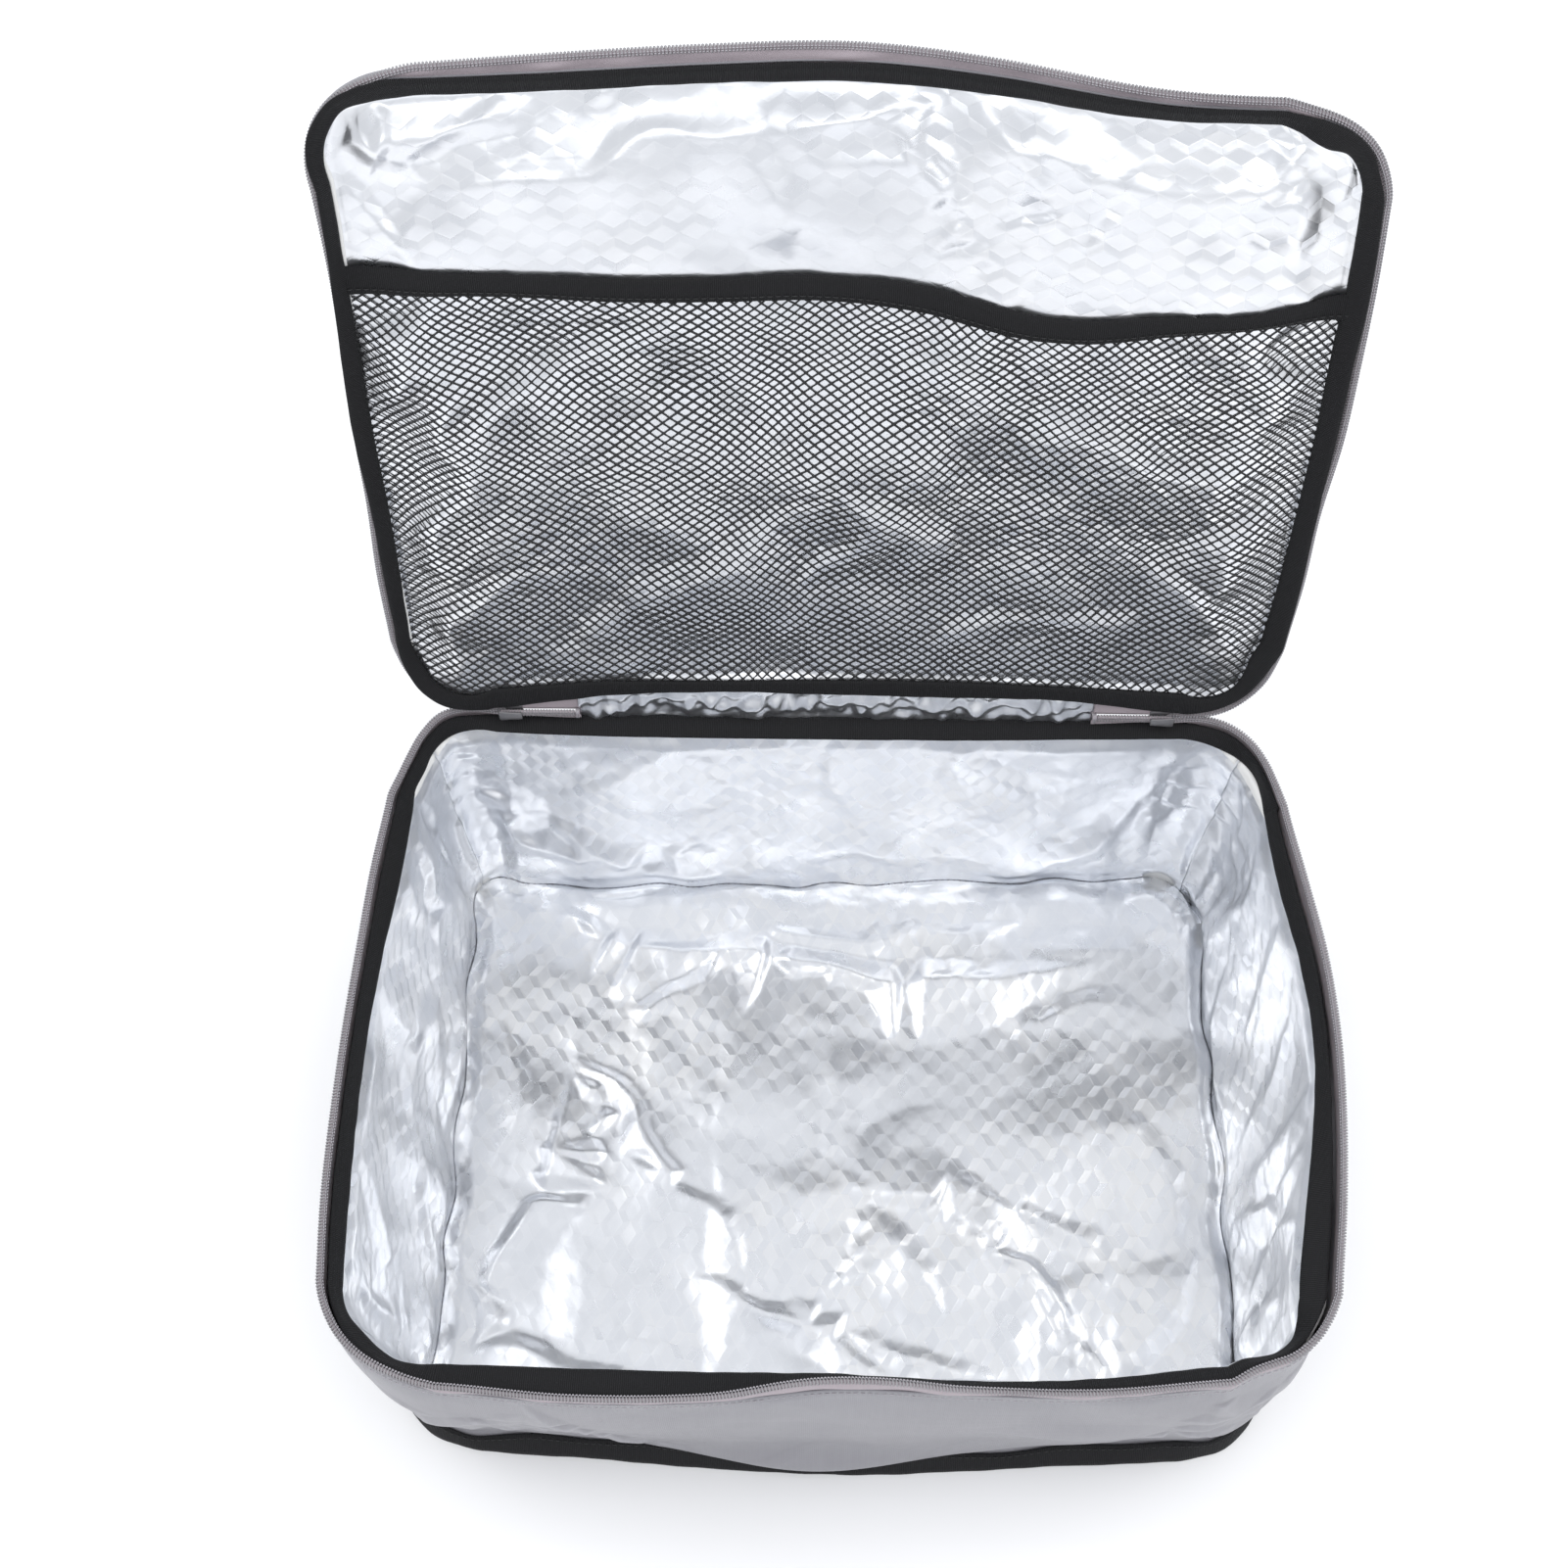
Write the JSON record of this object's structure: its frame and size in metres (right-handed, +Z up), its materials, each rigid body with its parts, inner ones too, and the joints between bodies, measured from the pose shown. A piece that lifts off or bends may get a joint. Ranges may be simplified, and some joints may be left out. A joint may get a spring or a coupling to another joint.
{
  "type": "insulated deck bag",
  "caption": "Soft-sided insulated box bag with a padded zip-round lid standing open, foil lining, black bound edges and a net pocket inside the lid.",
  "frame": {"origin": "centre of the underside of the base, on the surface the bag stands on", "axes": "+Z up, -Y towards the front of the bag, +X to the right of someone facing the front; the lid hinges along the top of the back wall and is stored open"},
  "size_m": [0.4718, 0.4519, 0.4965],
  "materials": {
    "cloth": "light grey coated woven polyester, soft gloss",
    "tape": "grey-mauve woven zipper tape, matt",
    "coil": "grey nylon coil teeth, semi gloss",
    "webbing": "black ribbed woven binding, matt",
    "foil": "metallised embossed film, bright and crumpled",
    "foam": "white closed-cell foam sheet",
    "net": "black knitted net",
    "metal": "grey painted die-cast metal"
  },
  "bodies": {
    "body": {"base_panel": "cloth", "base_binding": "webbing", "base_foam": "foam", "floor_liner": "foil", "body_rim_binding": "webbing", "body_zipper_tape": "tape", "body_zipper_coil": "coil", "chain_left": "coil", "chain_right": "coil", "zip_stop_left": "webbing", "zip_stop_right": "webbing", "hinge_fabric": "cloth", "hinge_lining": "foil", "front_panel": "cloth", "front_foam": "foam", "front_liner": "foil", "back_panel": "cloth", "back_foam": "foam", "back_liner": "foil", "left_panel": "cloth", "left_foam": "foam", "left_liner": "foil", "right_panel": "cloth", "right_foam": "foam", "right_liner": "foil"},
    "lid": {"lid_edge_foam_back": "foam", "lid_edge_foam_front": "foam", "lid_edge_foam_left": "foam", "lid_edge_foam_right": "foam", "lid_panel": "cloth", "lid_foam": "foam", "lid_liner": "foil", "lid_rim_binding": "webbing", "lid_zipper_tape": "tape", "lid_zipper_coil": "coil", "mesh_pocket": "net", "pocket_binding": "webbing"},
    "slider_left": {"slider_left": "metal"},
    "slider_right": {"slider_right": "metal"},
    "pull_left": {"pull_left": "metal"},
    "pull_right": {"pull_right": "metal"}
  },
  "joints": [
    {"name": "lid_hinge", "type": "hinge", "parent": "body", "child": "lid", "pos_m": [0, 0.1735, 0.16015], "axis": [1, 0, 0], "range_deg": [0, 105], "deforming": ["hinge_fabric", "hinge_lining"]},
    {"name": "slider_left_run", "type": "slide", "parent": "body", "child": "slider_left", "axis": [1, 0, 0], "range_m": [0, 0.027]},
    {"name": "slider_right_run", "type": "slide", "parent": "body", "child": "slider_right", "axis": [-1, 0, 0], "range_m": [0, 0.027]},
    {"name": "pull_left_swing", "type": "hinge", "parent": "slider_left", "child": "pull_left", "pos_m": [-0.167, 0.1785, 0.16015], "axis": [1, 0, 0], "range_deg": [-6, 85]},
    {"name": "pull_right_swing", "type": "hinge", "parent": "slider_right", "child": "pull_right", "pos_m": [0.167, 0.1785, 0.16015], "axis": [1, 0, 0], "range_deg": [-6, 85]}
  ]
}
